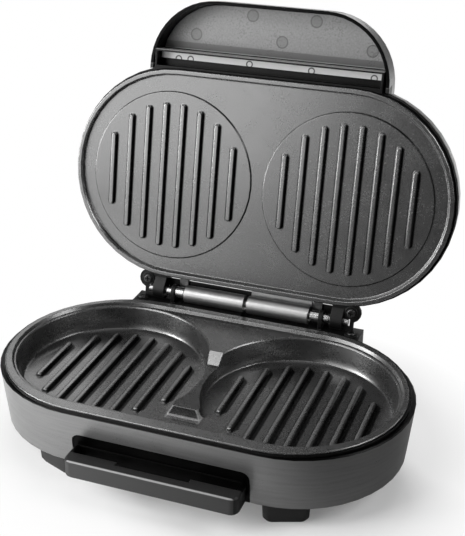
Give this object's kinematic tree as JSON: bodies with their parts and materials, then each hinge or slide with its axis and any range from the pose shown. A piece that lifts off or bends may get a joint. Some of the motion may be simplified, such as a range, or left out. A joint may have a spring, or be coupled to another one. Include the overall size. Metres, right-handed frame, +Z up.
{
  "type": "hamburger maker",
  "caption": "Contact grill for round patties: a racetrack base with two ribbed pans joined at the front, and a hinged lid with a ribbed press plate and a hollow visor handle.",
  "frame": {"origin": "centre of the bounding box at rest, lid open, on the floor under the feet", "axes": "+Z up; +Y towards the hinge at the back, the handles are at -Y; +X is the right-hand side seen from the front, along the hinge axle"},
  "size_m": [0.26, 0.2198, 0.2479],
  "materials": {
    "base_sheet": "satin gunmetal paint on sheet steel",
    "gunmetal_shell": "satin metallic gunmetal paint on moulded plastic",
    "non_stick_plate": "dark non-stick coating with a fine speckle",
    "heater_sheath": "dull drawn tube",
    "reflector_sheet": "bright rolled sheet",
    "ceramic": "plain unglazed",
    "foot_rubber": "matte black",
    "bright_steel": "satin bright",
    "chrome_bush": "polished",
    "strap_steel": "plain grey",
    "screw_steel": "dark zinc",
    "liner_plastic": "dark grey, slightly glossy",
    "red_lens": "clear red tint",
    "green_lens": "clear green tint",
    "frame_plastic": "black, semi-gloss",
    "seal_plastic": "matte black heat-proof",
    "black_plastic": "black, fine satin"
  },
  "bodies": {
    "base": {"base_shell": "base_sheet", "bottom_cover": "black_plastic", "plate_seat_ring": "seal_plastic", "lower_plate": "non_stick_plate", "lower_heater": "heater_sheath", "lower_reflector": "reflector_sheet", "lower_thermostat": "ceramic", "thermal_fuse": "ceramic", "terminal_block": "ceramic", "cord_gland": "black_plastic", "lower_handle": "black_plastic", "hinge_axle": "bright_steel", "base_hinge_barrel": "bright_steel", "base_bracket": "black_plastic", "axle_collar_left": "chrome_bush", "axle_collar_right": "chrome_bush", "bracket_screw_left": "screw_steel", "bracket_screw_right": "screw_steel", "foot_front_left": "foot_rubber", "foot_front_right": "foot_rubber", "foot_rear_left": "foot_rubber", "foot_rear_right": "foot_rubber"},
    "lid": {"lid_shell": "gunmetal_shell", "lid_frame": "frame_plastic", "upper_plate": "non_stick_plate", "upper_heater": "heater_sheath", "upper_reflector": "reflector_sheet", "upper_thermostat": "ceramic", "handle_liner": "liner_plastic", "power_lens": "red_lens", "ready_lens": "green_lens", "lid_hinge_barrel": "bright_steel", "lid_hinge_bracket": "black_plastic", "hinge_bush_left": "chrome_bush", "hinge_bush_right": "chrome_bush", "lid_strap_left": "strap_steel", "lid_strap_right": "strap_steel", "ear_screw_left": "screw_steel", "ear_screw_right": "screw_steel"}
  },
  "joints": [
    {"name": "lid_hinge", "type": "hinge", "parent": "base", "child": "lid", "pos_m": [0, 0.0561, 0.0568], "axis": [1, 0, 0], "range_deg": [0, 100.9]}
  ]
}
